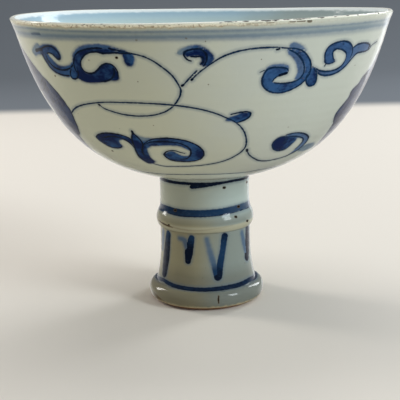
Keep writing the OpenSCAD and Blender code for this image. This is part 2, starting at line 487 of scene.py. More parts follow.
class Brush:
    """Cobalt brushed on one turned face. Strokes are rows of dots, and washes are closed outlines."""

    # Lengths are in mm. The washes' margin is a turn and a way along.
    stroke_step, wash_step = 0.12, 0.3
    smallest_gap = 0.05
    dots_tried = np.arange(-9, 10)
    bleed_reach = 2.0
    blend_reach = 0.6
    wash_margin = np.array([0.12, 4.0])
    far_off = 9.0
    nearest_depth, farthest_depth, depths = 310, 470, 1601

    def __init__(self, line, repeats=1, shift=0.0):
        self.shift = shift
        self.line = line if line[-1, 1] > line[0, 1] else line[::-1]
        self.reach = way_along(self.line)
        self.flipped = line[-1, 1] < line[0, 1]
        self.span = 2 * math.pi / repeats
        self.strokes, self.washes, self.stains = [], [], []

    def at(self, spots):
        """Where spots of the 400 x 400 frame fall on the face: turn from the front, and way along."""
        x, y = np.array(spots, float).T - frame_side / 2
        rays = sight + np.outer(x / eye_focal, eye_right) - np.outer(y / eye_focal, eye_up)
        depth = np.linspace(self.nearest_depth, self.farthest_depth, self.depths)
        ground = eye - [self.shift, 0, 0] + depth[None, :, None] * rays[:, None, :]
        height = ground[..., 2] - lip_lift(ground)
        gap = np.hypot(ground[..., 0], ground[..., 1]) - np.interp(height, self.line[:, 1], self.line[:, 0])
        hit = np.where((gap < 0).any(1), (gap < 0).argmax(1), gap.argmin(1))
        row = np.arange(len(x))
        near, before = gap[row, hit], gap[row, hit - 1]
        share = np.where((near < 0) & (before > 0), before / (before - near + 1e-9), 1.0)
        spot = ground[row, hit - 1] * (1 - share[:, None]) + ground[row, hit] * share[:, None]
        reach = np.interp(spot[:, 2] - lip_lift(spot), self.line[:, 1], self.reach)
        return np.stack([turn_of(spot), reach], 1)

    def solid(self, chart):
        """Points in mm of (turn, way along) pairs."""
        radius, height = (np.interp(chart[:, 1], self.reach, self.line[:, k]) for k in (0, 1))
        return np.stack([radius * np.sin(chart[:, 0]), -radius * np.cos(chart[:, 0]), height], 1)

    def drawn(self, chart, step, closed=False):
        """A smooth line through (turn, way along) pairs, with a point every step mm."""
        if closed:
            chart = np.vstack([chart, chart[:1]])
        far = np.linalg.norm(np.diff(self.solid(chart), axis=0), axis=1)
        chart = chart[np.r_[True, far > self.smallest_gap]]
        reach = way_along(self.solid(chart))
        at = np.linspace(0, reach[-1], max(2, int(reach[-1] / step)))
        if len(chart) < 3:
            return np.stack([np.interp(at, reach, chart[:, k]) for k in (0, 1)], 1)
        slope = np.gradient(chart, reach, axis=0)
        if closed:
            slope[0] = slope[-1] = (chart[1] - chart[-2]) / (reach[1] + reach[-1] - reach[-2])
        return eased(chart, reach, slope, at)

    def stroke(self, chart, widths, tone, stain=False):
        """A stroke through (turn, way along) pairs. Its widths in mm and its tones run from start to end."""
        dots = self.drawn(chart, self.stroke_step)
        share = np.linspace(0, 1, len(dots))
        half = np.interp(share, np.linspace(0, 1, len(widths)), widths) / 2
        tones = np.interp(share, np.linspace(0, 1, np.size(tone)), np.atleast_1d(tone))
        (self.stains if stain else self.strokes).append((dots, half, tones))

    def mark(self, spots, widths, tone, stain=False, turn=0.0):
        """A stroke through spots of the frame, or the same one a turn further round."""
        self.stroke(self.at(spots) + [turn, 0], widths, tone, stain)

    def wash(self, chart, tone, grey=0.0):
        """A wash that fills the outline through (turn, way along) pairs."""
        self.washes.append((self.drawn(chart, self.wash_step, True), tone, grey))

    def clear(self, chart):
        """Wipes the strokes off the area within an outline."""
        self.strokes = [tuple(part[~within(mark[0], chart)] for part in mark) for mark in self.strokes]

    def all_round(self, spots, share, steps):
        """A line through spots of the frame for a share of the span each way, carried on where none show."""
        chart = self.at(spots)
        chart = chart[np.argsort(chart[:, 0])]
        turn = np.linspace(-self.span * share, self.span * share, steps)
        return np.stack([turn, np.interp(turn, chart[:, 0], chart[:, 1], period=self.span)], 1)

    def ring(self, spots, widths, tone):
        """A ring through spots of the frame."""
        self.stroke(self.all_round(spots, 0.5, 181), widths, tone)

    def band(self, upper, lower, tone):
        """A wash all round between two rings of spots."""
        above, below = (self.all_round(spots, 0.6, 961) for spots in (upper, lower))
        self.washes.append((np.vstack([above, below[::-1]]), tone, 0.0))

    def copies(self, chart):
        """A part of the pattern, with its repeats on either side."""
        return [chart + [k * self.span, 0] for k in (-1, 0, 1)]

    def marked(self, marks, spots, centres, first, corners):
        """The way from each corner to the stroke that covers its face most, with its half width and tone."""
        to_mark = np.tile([self.far_off, 0.0, 0.0], (len(spots), 1))
        mark = np.zeros((len(spots), 3))
        clear = np.full(len(centres), self.far_off)
        for dots, half, tone in (m for m in marks if len(m[0])):
            for places in map(self.solid, self.copies(dots)):
                near = boxed(centres, places, half.max() + self.bleed_reach)
                if not len(near):
                    continue
                number, far = nearest(places, centres[near])
                room = far - half[number]
                won = room < clear[near]
                near, number = near[won], number[won]
                clear[near] = room[won]
                for corner in range(corners.max()):
                    has = corners[near] > corner
                    at = first[near[has]] + corner
                    tried = np.clip(number[has, None] + self.dots_tried, 0, len(places) - 1)
                    gap = np.linalg.norm(places[tried] - spots[at][:, None], axis=2)
                    best = tried[np.arange(len(at)), gap.argmin(1)]
                    to_mark[at] = places[best] - spots[at]
                    mark[at, :2] = np.stack([half[best], tone[best]], 1)
        return to_mark, mark

    def washed(self, chart, spots, here):
        """How far each corner lies outside the washes, and their tone and greyness there."""
        wash = np.tile([self.far_off, 0.0, 0.0], (len(chart), 1))
        spread = np.full((len(chart), 3), 1e-9)
        for edge, tone, grey in self.washes:
            for rim in self.copies(edge):
                near = here[boxed(chart[here], rim, self.wash_margin)]
                if not len(near):
                    continue
                gap = nearest(self.solid(rim), spots[near])[1]
                gap = np.where(within(chart[near], rim), -gap, gap)
                share = np.exp(np.clip(-gap / self.blend_reach, -12, 3))
                spread[near] += np.stack([share, share * tone, share * grey], 1)
                wash[near, 0] = np.minimum(wash[near, 0], gap)
        wash[:, 1:] = spread[:, 1:] / spread[:, :1]
        return wash

    def lay(self, piece):
        """Puts the painting on a piece. The corners of its faces carry the strokes and washes there."""
        mesh, co = piece.data, points_of(piece)
        along = np.empty(len(co), np.float32)
        mesh.attributes["along"].data.foreach_get("value", along)
        vert = np.empty(len(mesh.loops), np.int32)
        mesh.loops.foreach_get("vertex_index", vert)
        first = np.empty(len(mesh.polygons), np.int32)
        mesh.polygons.foreach_get("loop_start", first)
        corners = np.diff(np.r_[first, len(vert)])
        way = self.reach[-1] - along if self.flipped else along
        turn = turn_of(co)[vert]
        start = np.repeat(turn[first], corners)
        turn = (turn - start + math.pi) % (2 * math.pi) - math.pi + start
        middle = np.add.reduceat(turn, first) / corners
        turn += np.repeat((middle + self.span / 2) % self.span - self.span / 2 - middle, corners)
        chart = np.stack([turn, way[vert]], 1)
        spots = self.solid(chart)
        painted = np.minimum.reduceat(along[vert], first) >= 0
        centres = (np.add.reduceat(spots, first) / corners[:, None])[painted]
        for name, marks in (("line", self.strokes), ("stain", self.stains)):
            to_mark, mark = self.marked(marks, spots, centres, first[painted], corners[painted])
            carry(piece, "to_" + name, to_mark, "CORNER")
            carry(piece, name, mark, "CORNER")
        here = np.nonzero(np.repeat(painted, corners))[0]
        carry(piece, "wash", self.washed(chart, spots, here), "CORNER")


def from_side_to_side(glaze, one, other, start, end):
    """A colour that goes from one on the left to the other on the right, with clouds."""
    share = glaze.place().part(0).rise(start, end) + (glaze.noise(26, 3) - 0.5) * 0.8
    return glaze.blend(share.rise(0.1, 0.9), tint(*one), tint(*other))


def painted_glaze(name, body, wear, mottled=0.0):
    """Clear glaze of a body colour over cobalt that bled into it, with stains of iron and a worn edge."""
    glaze = Recipe(name)
    cloud, fine, speck = glaze.noise(26, 3), glaze.noise(1.3, 3), glaze.noise(0.45, 2)
    heaped = glaze.noise(1.8, 4, (1, 1, 1.6), 0.6)
    line, wash, stain = glaze.carried("line"), glaze.carried("wash"), glaze.carried("stain")
    length = {"operation": "LENGTH"}
    to_line, to_stain = (glaze.add("ShaderNodeVectorMath", length, {0: glaze.carried(way)}, "Value")
                         for way in ("to_line", "to_stain"))
    waver = (fine - 0.5) * 0.34 + (speck - 0.5) * 0.2
    gap = to_line - line.part(0) + waver
    pool = wash.part(0) + waver + (glaze.noise(4, 3) - 0.5) * 0.8
    tone, wash_tone = line.part(1), wash.part(1)
    soft = tone.rise(0.3, 0.8, 0.65, 0.15)
    washed = pool.rise(0.5, -0.4) * (1 - (1 - wash_tone.least(1.0)) ** 2.2)
    inked = gap.rise(soft, soft * -1) * (tone * 1.6).least(1.0) * heaped.rise(0.1, 0.45, 0.85, 1.0)
    bled = gap.least(pool).rise(1.4, 0.0) * tone.most(wash_tone).rise(0.2, 0.9, 0.15, 0.5)
    blue = glaze.blend(wash_tone.rise(0.25, 0.6), tint(62, 104, 130), tint(46, 86, 134))
    pooled = wash_tone - 0.06 + (heaped - 0.5) * 0.6 + (glaze.noise(6, 2) - 0.5) * 1.3
    blue = glaze.blend(pooled.rise(0.6, 1.1), blue, tint(3, 28, 74))
    blue = glaze.blend(heaped.rise(0.55, 0.75) * 0.5, blue, tint(3, 16, 46))
    # A wash's grey share turns it grey-violet: painted reflection, for the sheen at the bowl's sides.
    blue = glaze.blend(wash.part(2), blue, tint(55, 56, 77))
    ink = glaze.blend(tone.rise(0.3, 0.6), tint(38, 84, 128), tint(24, 54, 86))
    ink = glaze.blend((tone + (heaped - 0.5) * 0.3).rise(0.65, 1.0), ink, tint(1, 17, 40))
    colour = body(glaze)
    colour = glaze.blend(bled * heaped.rise(0.2, 0.75, 0.55, 1.0), colour, tint(84, 108, 130))
    colour = glaze.blend(washed, colour, blue)
    colour = glaze.blend(inked, colour, ink)
    rust = (to_stain - stain.part(0) + waver).rise(0.45, -0.35) * stain.part(1)
    colour = glaze.blend(rust.least(1.0), colour, tint(100, 80, 52))
    colour = glaze.blend((rust - 0.8).rise(0.0, 0.6), colour, tint(26, 23, 21))
    iron = glaze.grains(7.5).rise(0.045, 0.02)
    colour = glaze.blend(iron * 0.7, colour, tint(92, 74, 52))
    thin, worn = wear(glaze)
    colour = glaze.blend(thin, colour, worn)
    burnt = thin * (fine + (speck - 0.5) * 0.5).rise(0.5, 0.66) * mottled
    return glaze.done({
        "Base Color": glaze.blend(burnt, colour, tint(138, 108, 70)),
        "Roughness": (cloud * 0.1 + thin * 0.4 + 0.06).most(iron * 0.3),
        "Specular IOR Level": 0.22,
        "Normal": glaze.relief(glaze.noise(5, 2) - iron * 0.4 - thin * speck * 0.6, 0.12)})


def joined(lines):
    """Lines that follow on each other as one line."""
    return np.vstack([lines[0]] + [line[1:] for line in lines[1:]])


stem_coat_step, stem_coat_back_step = 0.45, 1.2
stem_coat_columns = 304
stem_face_runs = 3
neck_ring = [
    (166.8, 180.7), (177, 182.6), (186.2, 183.5), (199.2, 184), (210.3, 183.8), (223.2, 182.6),
    (234.3, 180.3), (244.5, 178.4)]
neck_overlap = [(191.8, 186.9), (199.2, 186), (210.3, 184.4), (223.2, 182.6), (234.3, 180.3)]
ridge_band = [
    (159.9, 205.7), (167.7, 209.4), (177, 212.2), (190.9, 213.5), (204.7, 213.5), (218.6, 212.2),
    (232.5, 209.4), (241.7, 206.6), (249.1, 203.4)]
foot_ring = [
    (157.6, 273.2), (163.1, 279.7), (172.4, 285.2), (186.2, 288.4), (204.7, 289.8), (223.2, 288),
    (237.1, 285.2), (249.1, 279.7), (255.6, 273.2)]
vee_light = {"first": ([(163.1, 231.6), (162.6, 248)], [2.6, 3.2, 2.2], [0.35, 0.35]),
             "second": ([(179.4, 238.2), (184, 240), (186.6, 248)], [1.5, 2.3, 1.8], [0.35, 0.4]),
             "third": ([(206.6, 239), (210.3, 252.8), (214, 264.9), (216.4, 274)], [1.4, 1.9, 2.2, 2.6],
                       [0.35, 0.33, 0.4, 0.7]),
             "fourth": ([(241.8, 232.5), (244.8, 246.4), (246.8, 255.6)], [1.8, 2.6, 2.2], [0.35, 0.4])}
vee_dark = {"first": ([(168.2, 234.3), (166.9, 248.2), (165.4, 262.1), (164.2, 273)], [3.2, 4.4, 5.2, 3.8],
                      [0.8, 0.95, 1.0, 0.95]),
            "second": ([(191.6, 238), (189.4, 248.2), (188, 261)], [2.5, 3.4, 3.6, 2.6], [0.72, 1.0, 1.0]),
            "third": ([(224.6, 236.3), (222.3, 252.8), (219.8, 266), (218, 276.5)], [2.9, 2.5, 2.9, 3.5],
                      [0.88, 0.66, 0.72, 0.98]),
            "fourth": ([(247.4, 228.8), (247.5, 243.6), (246.9, 256)], [4.0, 5.4, 4.0], [0.9, 1.0, 1.0])}
vee_unseen_turns = (1.7, 2.5, 3.3, 4.1)
ridge_rust = [(158, 219.5), (161.5, 222.6), (166, 225), (172.4, 227.3)]
ridge_buff = [(172.4, 227), (184, 229.8), (195.5, 230.7), (214, 229), (232.5, 225.1)]
foot_burn = [(154, 293), (158, 298), (163, 302), (168, 305)]
foot_crack = [(218.6, 296), (218.4, 299), (218.6, 303)]
stem_pits = [
    (224.1, 187.7), (246.8, 182.1), (175.1, 210.3), (238.5, 206.6), (235.7, 216.8), (168.7, 225.6),
    (247.3, 220.9)]

stem_coat_runs = half_section("stem_glaze")
stem_face = joined([pared(run, stem_coat_step) for run in stem_coat_runs[:stem_face_runs]])
stem_coat_back = [pared(run, stem_coat_back_step) for run in stem_coat_runs[stem_face_runs:]]
stem_coat = turned("stem_glaze", [stem_face] + stem_coat_back, stem_coat_columns, 0)
brush = Brush(stem_face)
brush.ring(neck_ring, [1.1, 1.4, 1.1, 1.3], [0.7, 0.85, 0.98, 0.95, 0.85, 0.7])
brush.mark(neck_overlap, [1.8, 1.9, 1.2, 0.8], 0.95)
brush.ring(ridge_band, [2.6, 3.0, 2.7, 2.8], [0.6, 0.75, 0.82, 0.58, 0.48, 0.6])
brush.ring([(x, y + 3) for x, y in ridge_band], [0.5, 0.8, 0.6, 0.8], [0.8, 0.9, 0.8])
brush.ring(foot_ring, [1.8, 1.6, 2.0, 1.7], [0.7, 0.8, 0.86, 0.9, 0.74, 0.7])
for light, dark in zip(vee_light.values(), vee_dark.values()):
    brush.mark(*light)
    brush.mark(*dark)
for turn in vee_unseen_turns:
    brush.mark(*vee_light["third"], turn=turn)
    brush.mark(*vee_dark["third"], turn=turn)
brush.mark(ridge_rust, [0.4, 0.6, 0.8, 0.4], [0.9, 1.3, 1.0], stain=True)
brush.mark(ridge_buff, [0.5, 0.4, 0.3], [0.4, 0.25, 0.15], stain=True)
brush.mark(foot_burn, [1.0, 2.4, 1.2], [0.7, 1.0, 0.5], stain=True)
brush.mark(foot_crack, [0.25, 0.4, 0.2], 2.2, stain=True)
for x, y in stem_pits:
    brush.mark([(x - 0.5, y), (x + 0.5, y)], [0.6, 0.7], 2.6, stain=True)
brush.lay(stem_coat)


def foot_wear(glaze):
    """The glaze thins to nothing at the foot's edge."""
    ragged = glaze.place().part(2) + (glaze.noise(2, 3) - 0.5) * 0.0016
    return ragged.rise(0.0026, 0.0014) * 0.8, tint(190, 174, 136)


def olive_with_painted_shade(glaze):
    """Darker from the ridge down, most at the foot: an olive tinge and painted shade from the bowl."""
    height = glaze.place().part(2)
    # Painted light: warmer on the left and cooler on the right.
    upper = from_side_to_side(glaze, (174, 178, 162), (174, 187, 181), -0.016, 0.016)
    lower = from_side_to_side(glaze, (152, 146, 118), (139, 148, 141), -0.016, 0.016)
    # Painted shade on the ridge's face and towards the foot; a paler band lies on the ridge's edge.
    ridge = height.rise(0.0385, 0.0365) * height.rise(0.0345, 0.0355) * 0.3
    lower = glaze.blend((height.rise(0.0185, 0.011) * 0.45).most(ridge), lower, tint(96, 92, 80))
    edge = height.rise(0.0348, 0.0338) * height.rise(0.0312, 0.0322)
    lower = glaze.blend(edge * 0.8, lower, tint(182, 178, 152))
    return glaze.blend(height.rise(0.044, 0.033), upper, lower)


set_down(stem_coat, "stem_glaze", painted_glaze("painted_stem_glaze", olive_with_painted_shade, foot_wear))


# The glaze inside the bowl. One clear coat over white clay, poured in and out again. Nothing is painted
# under it, so the painting that is laid on it is empty.
inner_steps = (3, 1, 0.8)
inner_columns = 448
inner_lines = [pared(run, step) for run, step in zip(half_section("bowl_inner_glaze"), inner_steps)]
inner_coat = turned("bowl_inner_glaze", inner_lines, inner_columns, 2)
Brush(inner_lines[2]).lay(inner_coat)


def thin_lip_with_highlight(glaze):
    """The glaze thins at the lip, and the near-white band there is a painted highlight on its crest."""
    ragged = glaze.carried("thrown").part(2) + (glaze.noise(4, 4) - 0.5) * 0.001
    return ragged.rise(0.1158, 0.1171) * 0.9, tint(240, 244, 242)


def blue_with_painted_light(glaze):
    """Darker below the lip. Painted light and reflection: bluer on the left, greyer on the right."""
    upper = from_side_to_side(glaze, (164, 191, 206), (156, 168, 168), 0.0, 0.06)
    lower = from_side_to_side(glaze, (202, 218, 214), (176, 184, 176), 0.0, 0.06)
    return glaze.blend(glaze.carried("thrown").part(2).rise(0.1165, 0.11), upper, lower)


set_down(inner_coat, "bowl_inner_glaze", painted_glaze("inner_glaze", blue_with_painted_light, thin_lip_with_highlight))


# The glaze outside the bowl, over its painting: a lotus scroll of thin stems and curled leaves between
# two big blossoms, each outlined with the brush's tip and filled with washes, and rings below the lip.
outer_step, outer_back_step, outer_back_lip_step = 0.78, 8, 1.5
outer_back_lip_height = 106
outer_columns = 704
edge_tones, edge_tones_from_to = (0.94, 0.8), (180, 280)
lip_ring = [
    (30, 28.5), (40, 29.7), (70, 31.4), (110, 32.1), (155, 32), (200, 31.3), (230, 30.4), (270, 28.7),
    (310, 26.2), (345, 23.7), (372, 20.5)]
lower_lip_ring = [
    (30, 35.7), (40, 37), (70, 38.1), (110, 38.7), (155, 38.8), (200, 38.4), (230, 37.5), (270, 35.9),
    (310, 33.2), (345, 30), (372, 26.6)]
lip_overlap = [(31, 35), (35.5, 35.6), (40, 35.2)]
well_ring = [(162, 174), (197, 174.4), (230, 173.6), (249, 171.8), (257, 170)]
stems = {
    "upper_left": [
        (120, 51.6), (130, 53.6), (137.9, 55.3), (146.8, 58.1), (155.7, 63), (164.6, 69.3),
        (171.8, 75.5), (177.1, 82.7), (180.7, 89.8), (180.3, 95.2), (177.1, 101.4), (172.7, 106.8),
        (164.6, 112.1), (155.7, 114.8), (142.3, 116.2), (128.9, 115.4), (117.8, 113.2), (109.5, 110.6),
        (103, 107.8), (98.7, 104.2)],
    "lower": [
        (71.5, 113.8), (73.4, 110.2), (77, 107.3), (82, 105.3), (88, 104.1), (95, 103.1), (103, 102.5),
        (112, 102.4), (126, 102.7), (140, 103.2), (155.7, 103.9), (173.6, 105.4), (191.4, 107.7),
        (204.8, 110.4), (218.2, 114.4), (225, 117.3), (231, 119.8), (236, 122.6), (240.5, 126.5),
        (244, 131.5), (246, 137.5), (246.3, 143), (245, 147.5), (241, 152), (235, 156), (229, 159),
        (218.7, 162.4), (204.4, 165), (190, 166.2), (175.7, 166.4), (163.2, 166), (154, 163.8)],
    "upper_right": [
        (191.8, 80), (197.7, 73.8), (204.8, 68.4), (213.8, 62.1), (222.7, 56.8), (236.1, 51.9),
        (249.5, 49), (262, 47.6), (272.1, 47.1), (280, 47.3), (288, 47.8)],
    "fork": [(182.5, 86.3), (189, 79), (196.8, 71.1)]}
leaf_edges = {
    "hook_outside": [
        (40.5, 51.5), (43, 56), (46, 61), (49.5, 66.5), (54, 71), (60, 74.5), (66, 76), (71, 75.8)],
    "hook_middle": [
        (45, 53.5), (47, 58), (50, 63), (54.5, 67.5), (60, 70), (66, 70.2), (71, 68), (73.5, 64)],
    "hook_head": [
        (40.5, 50), (44, 47.5), (48.5, 46.5), (53, 48), (57, 51.5), (60, 56.5), (60.2, 59), (58.5, 59.8),
        (56, 57.8), (53, 55), (49.5, 53.2), (47, 54)],
    "loop": [(71.3, 69), (70.6, 74.5), (71.8, 78), (74.8, 79.3), (77.5, 78), (78.5, 74.5), (77.8, 70.5)],
    "curl_top": [(74.5, 57), (76.5, 54), (80, 51.7), (85, 50), (90, 49), (96, 48.5), (102, 48.7)],
    "curl_top_end": [(108.5, 48.6), (112, 49.8), (118, 51), (124, 52.2)],
    "curl_middle": [
        (131, 54.2), (124, 53.6), (116, 53.2), (108, 53.4), (102.5, 53.6), (97, 52.3), (91, 52.6),
        (86, 54.5), (82.5, 58), (80.8, 62.5), (81.5, 67.5), (84.5, 71.5), (89, 73.7), (93, 73.5),
        (97, 71), (100.5, 67), (104, 64.5), (108.5, 64), (113, 65.8), (116, 69), (118, 73.5),
        (118.2, 77)],
    "curl_back": [(74.8, 57), (73.8, 63), (75, 69), (77.5, 73)],
    "curl_eye": [(113.2, 68), (114.5, 73), (112.5, 78), (108, 80.8), (101, 82)],
    "crook": [
        (191, 61.3), (187.5, 60), (185, 57.5), (183.8, 55), (184.3, 52.5), (187, 51), (191, 50),
        (196, 49.3), (200, 49.5), (203.5, 51.3), (206, 54.5), (206.8, 58), (206, 62), (203.5, 66.5)],
    "crook_inside": [
        (191, 56.8), (196, 57), (199.5, 56.6), (201.5, 56.8), (203.5, 60), (202.8, 63.5), (200.3, 64.5)],
    "whorl": [
        (288, 47.8), (296, 48.2), (302, 50), (307, 54.5), (310.3, 60.5), (311, 67), (309.5, 73),
        (306, 78.5), (300.5, 84), (294, 88), (287, 91), (280, 92.6), (273, 92.4), (267, 90),
        (262.8, 85.5), (262, 80), (263.5, 75), (267, 69.5), (272, 67.5), (279, 67.2), (285, 67.8),
        (288.3, 69.8), (287.3, 72.3), (283, 74.3), (279, 75.5), (275, 77.8), (272.5, 81)],
    "whorl_middle": [
        (289, 49), (295, 52), (300, 56.5), (303.3, 62), (304.3, 68), (303, 74), (300, 78), (294, 81.3),
        (287, 82.8), (280, 83.2), (274, 82.5)],
    "whorl_tail": [
        (311.5, 68), (308.5, 73), (306, 78.5), (306.3, 82), (309, 85.7), (314.5, 84), (316.7, 77),
        (316, 71.5), (313.5, 67)],
    "link_lower": [
        (312.5, 66), (316, 71), (321, 74.5), (327, 75), (334, 73.5), (341, 69.5), (347, 64), (352, 58),
        (356, 53.5), (361, 51.4), (366, 50.3), (370, 47.5), (372, 44.5)],
    "link_upper": [(314.5, 67.5), (319, 70), (325, 71), (332, 70.3), (339, 67.3), (344, 62.5), (346, 58)],
    "claw": [
        (334.8, 61), (332.5, 62.3), (329, 63.2), (325.5, 62.5), (325, 57), (325.8, 51.5), (328.5, 47),
        (333, 43.5), (339, 41.3), (345, 40.6), (350, 42.3), (352.5, 46), (352.8, 51), (350.5, 57)],
    "claw_inside": [
        (334.8, 61), (333.3, 57), (333.3, 51), (336, 48.7), (340, 48.5), (344, 50), (346.5, 53.5),
        (346, 58)],
    "claw_tail": [(353, 47.5), (357, 44.3), (361, 42.8), (366, 42.2), (369.5, 43.5), (371, 46)],
    "bud": [
        (231, 114.5), (236, 113.3), (242, 112), (248, 111.8), (250.8, 113.2), (250, 116), (247, 118.7),
        (242, 121), (236.5, 122.8)],
    "beak": [
        (131.5, 139.5), (127, 137), (121, 135), (114, 133.7), (107, 133), (101, 133.7), (97, 135.7),
        (96.5, 137.3), (99, 140), (104, 143.5), (109, 146.2), (114, 147.7), (120, 147.8), (122, 146.5)],
    "beak_middle": [
        (103, 138), (108, 136.6), (115, 136.8), (121, 138.3), (127, 141), (131, 144), (134.5, 148)],
    "thorn": [
        (132.3, 132), (132, 136), (131.8, 139), (134.5, 147), (136.5, 152), (139.5, 157), (144, 160.5),
        (149, 163)],
    "thorn_back": [
        (133, 133), (137.5, 137), (141, 141), (143, 144), (142.3, 148), (142.5, 152), (144, 155)],
    "snail": [
        (143, 145), (146.5, 142), (150, 140), (157, 138.6), (165, 138.2), (172, 138.6), (180, 139.7),
        (188, 141.5), (195, 144.3), (200, 147.5), (203.5, 151.5), (203.5, 155.5), (200.5, 159),
        (194, 161), (186, 161.7), (178, 161.3), (171, 160), (166.5, 157.5), (164.3, 154.5), (166, 152),
        (170, 150.7), (175, 150.8), (180, 152.3), (184.5, 153.4)],
    "snail_middle": [
        (144, 144.5), (150, 142.3), (158, 141.7), (166, 141.8), (173, 142.3), (180, 143.6), (186, 146),
        (190, 149.5), (191, 153), (189.5, 156.5), (186, 158.8), (180, 159)],
    "leaf": [
        (287, 136.4), (281.5, 137), (276.5, 139.5), (273, 143), (272.5, 147), (275, 150), (280, 150.6),
        (285, 149), (289, 146), (293, 142.5)],
    "leaf_fold": [(285, 136.5), (286.5, 139.5), (283, 143.5)],
    "tendril": [
        (247, 150.3), (248.2, 153.4), (250.5, 156), (253.5, 158), (259, 160.5), (266, 160.8),
        (274, 159.5), (281, 157.7), (288, 155), (294, 152), (299, 149), (303, 145.5), (306.5, 141.5),
        (308.3, 138), (307.5, 135.5), (303, 133.2), (297, 132.7), (291, 133.5), (286, 135)],
    "tendril_inside": [
        (295, 149), (299.5, 145), (302.5, 141.5), (303, 138.5), (299, 136.8), (293, 136.3), (287, 137)]}
